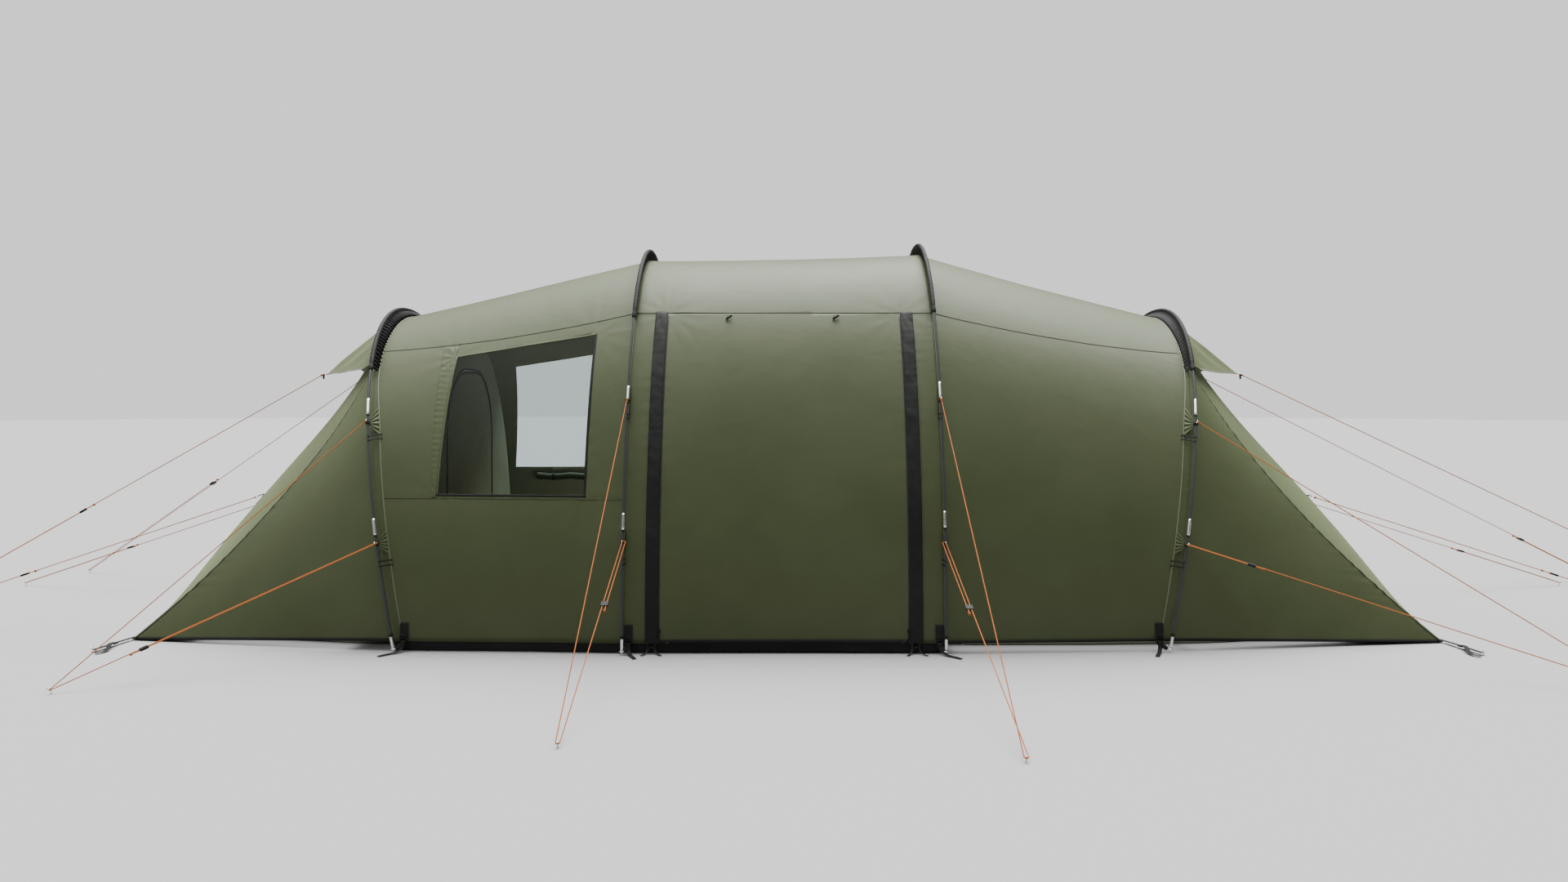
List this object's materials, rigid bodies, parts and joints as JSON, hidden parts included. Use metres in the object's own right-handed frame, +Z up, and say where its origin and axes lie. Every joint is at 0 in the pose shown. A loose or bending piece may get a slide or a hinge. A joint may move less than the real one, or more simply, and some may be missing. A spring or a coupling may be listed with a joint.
{
  "type": "tunnel tent",
  "caption": "Tunnel tent on curved hoop poles, with tapered ends, a side window, roll-up doors, inner bedrooms and taut guy ropes.",
  "frame": {"origin": "on the ground under the middle of the tent", "axes": "+X along the tent towards the end without the window, -Y the front with window and door, +Z up"},
  "size_m": [9.3125, 5.3914, 1.8971],
  "materials": {
    "flysheet": "coated plain-weave polyester, olive green, soft sheen",
    "black_webbing": "black coated polyester and webbing",
    "pole": "dark fibreglass with bright metal ferrules and feet",
    "window_film": "clear flexible film",
    "inner_tent": "light breathable polyester, grey-green",
    "groundsheet": "woven polyethylene sheet, dark grey",
    "guy_rope": "braided orange cord",
    "runner_plastic": "black moulded plastic"
  },
  "bodies": {
    "tent": {"groundsheet": "groundsheet", "fly_section_left": "flysheet", "window_front": "window_film", "window_back": "window_film", "fly_section_middle": "flysheet", "zip_flap_front_left": "black_webbing", "zip_flap_front_right": "black_webbing", "zip_flap_back_left": "black_webbing", "zip_flap_back_right": "black_webbing", "fly_section_right": "flysheet", "fly_end_left": "flysheet", "fly_end_right": "flysheet", "vent_hood_left": "flysheet", "vent_hood_right": "flysheet", "hoop_pole_1": "pole", "hoop_sleeve_1": "black_webbing", "hoop_pole_2": "pole", "hoop_sleeve_2": "black_webbing", "hoop_pole_3": "pole", "hoop_sleeve_3": "black_webbing", "hoop_pole_4": "pole", "hoop_sleeve_4": "black_webbing", "bedroom_left": "inner_tent", "bedroom_right": "inner_tent", "guy_rope_hoop_1_front": "guy_rope", "guy_rope_hoop_1_back": "guy_rope", "guy_rope_hoop_2_front": "guy_rope", "guy_rope_hoop_2_back": "guy_rope", "guy_rope_hoop_3_front": "guy_rope", "guy_rope_hoop_3_back": "guy_rope", "guy_rope_hoop_4_front": "guy_rope", "guy_rope_hoop_4_back": "guy_rope", "guy_rope_hood_left_front": "guy_rope", "guy_rope_hood_left_back": "guy_rope", "guy_rope_hood_right_front": "guy_rope", "guy_rope_hood_right_back": "guy_rope", "guy_rope_end_left_front": "guy_rope", "guy_rope_end_left_back": "guy_rope", "guy_rope_end_right_front": "guy_rope", "guy_rope_end_right_back": "guy_rope"},
    "door_front": {"door_front": "flysheet"},
    "door_back": {"door_back": "flysheet"},
    "bedroom_door_left": {"bedroom_door_left": "inner_tent"},
    "bedroom_door_right": {"bedroom_door_right": "inner_tent"},
    "runner_hoop_1_front": {"rope_runner_hoop_1_front": "runner_plastic"},
    "runner_hoop_1_back": {"rope_runner_hoop_1_back": "runner_plastic"},
    "runner_hoop_2_front": {"rope_runner_hoop_2_front": "runner_plastic"},
    "runner_hoop_2_back": {"rope_runner_hoop_2_back": "runner_plastic"},
    "runner_hoop_3_front": {"rope_runner_hoop_3_front": "runner_plastic"},
    "runner_hoop_3_back": {"rope_runner_hoop_3_back": "runner_plastic"},
    "runner_hoop_4_front": {"rope_runner_hoop_4_front": "runner_plastic"},
    "runner_hoop_4_back": {"rope_runner_hoop_4_back": "runner_plastic"},
    "runner_hood_left_front": {"rope_runner_hood_left_front": "runner_plastic"},
    "runner_hood_left_back": {"rope_runner_hood_left_back": "runner_plastic"},
    "runner_hood_right_front": {"rope_runner_hood_right_front": "runner_plastic"},
    "runner_hood_right_back": {"rope_runner_hood_right_back": "runner_plastic"},
    "runner_end_left_front": {"rope_runner_end_left_front": "runner_plastic"},
    "runner_end_left_back": {"rope_runner_end_left_back": "runner_plastic"},
    "runner_end_right_front": {"rope_runner_end_right_front": "runner_plastic"},
    "runner_end_right_back": {"rope_runner_end_right_back": "runner_plastic"}
  },
  "joints": [
    {"name": "door_front_swing", "type": "hinge", "parent": "tent", "child": "door_front", "pos_m": [0, -0.71237, 1.487], "axis": [-0.9999, 0.0157, 0], "range_deg": [0, 100]},
    {"name": "door_back_swing", "type": "hinge", "parent": "tent", "child": "door_back", "pos_m": [0, 0.71237, 1.487], "axis": [0.9999, 0.0157, 0], "range_deg": [0, 100]},
    {"name": "bedroom_door_left_swing", "type": "hinge", "parent": "tent", "child": "bedroom_door_left", "pos_m": [-1.64, 0.447, 0], "axis": [0, 0, 1], "range_deg": [0, 110]},
    {"name": "bedroom_door_right_swing", "type": "hinge", "parent": "tent", "child": "bedroom_door_right", "pos_m": [0.8, 0.447, 0], "axis": [0, 0, -1], "range_deg": [0, 110]},
    {"name": "runner_hoop_1_front_slide", "type": "slide", "parent": "tent", "child": "runner_hoop_1_front", "axis": [0.7386, 0.575, 0.352], "range_m": [0, 0.25]},
    {"name": "runner_hoop_1_back_slide", "type": "slide", "parent": "tent", "child": "runner_hoop_1_back", "axis": [0.7453, -0.5664, 0.3517], "range_m": [0, 0.25]},
    {"name": "runner_hoop_2_front_slide", "type": "slide", "parent": "tent", "child": "runner_hoop_2_front", "axis": [0.0091, 0.9459, 0.3244], "range_m": [0, 0.25]},
    {"name": "runner_hoop_2_back_slide", "type": "slide", "parent": "tent", "child": "runner_hoop_2_back", "axis": [0.0188, -0.9457, 0.3244], "range_m": [0, 0.25]},
    {"name": "runner_hoop_3_front_slide", "type": "slide", "parent": "tent", "child": "runner_hoop_3_front", "axis": [-0.0299, 0.9559, 0.2921], "range_m": [0, 0.25]},
    {"name": "runner_hoop_3_back_slide", "type": "slide", "parent": "tent", "child": "runner_hoop_3_back", "axis": [-0.021, -0.9562, 0.2921], "range_m": [0, 0.25]},
    {"name": "runner_hoop_4_front_slide", "type": "slide", "parent": "tent", "child": "runner_hoop_4_front", "axis": [-0.8528, 0.4487, 0.2672], "range_m": [0, 0.2]},
    {"name": "runner_hoop_4_back_slide", "type": "slide", "parent": "tent", "child": "runner_hoop_4_back", "axis": [-0.8488, -0.4561, 0.2674], "range_m": [0, 0.2]},
    {"name": "runner_hood_left_front_slide", "type": "slide", "parent": "tent", "child": "runner_hood_left_front", "axis": [-0.7507, -0.4059, -0.5212], "range_m": [0, 0.25]},
    {"name": "runner_hood_left_back_slide", "type": "slide", "parent": "tent", "child": "runner_hood_left_back", "axis": [-0.8038, 0.3655, -0.4693], "range_m": [0, 0.25]},
    {"name": "runner_hood_right_front_slide", "type": "slide", "parent": "tent", "child": "runner_hood_right_front", "axis": [0.8165, -0.3548, -0.4555], "range_m": [0, 0.25]},
    {"name": "runner_hood_right_back_slide", "type": "slide", "parent": "tent", "child": "runner_hood_right_back", "axis": [0.8862, 0.2215, -0.407], "range_m": [0, 0.25]},
    {"name": "runner_end_left_front_slide", "type": "slide", "parent": "tent", "child": "runner_end_left_front", "axis": [-0.9269, -0.1922, -0.3223], "range_m": [0, 0.25]},
    {"name": "runner_end_left_back_slide", "type": "slide", "parent": "tent", "child": "runner_end_left_back", "axis": [-0.9343, 0.1863, -0.3038], "range_m": [0, 0.25]},
    {"name": "runner_end_right_front_slide", "type": "slide", "parent": "tent", "child": "runner_end_right_front", "axis": [0.9323, -0.1852, -0.3106], "range_m": [0, 0.25]},
    {"name": "runner_end_right_back_slide", "type": "slide", "parent": "tent", "child": "runner_end_right_back", "axis": [0.9402, 0.1781, -0.2905], "range_m": [0, 0.25]}
  ]
}
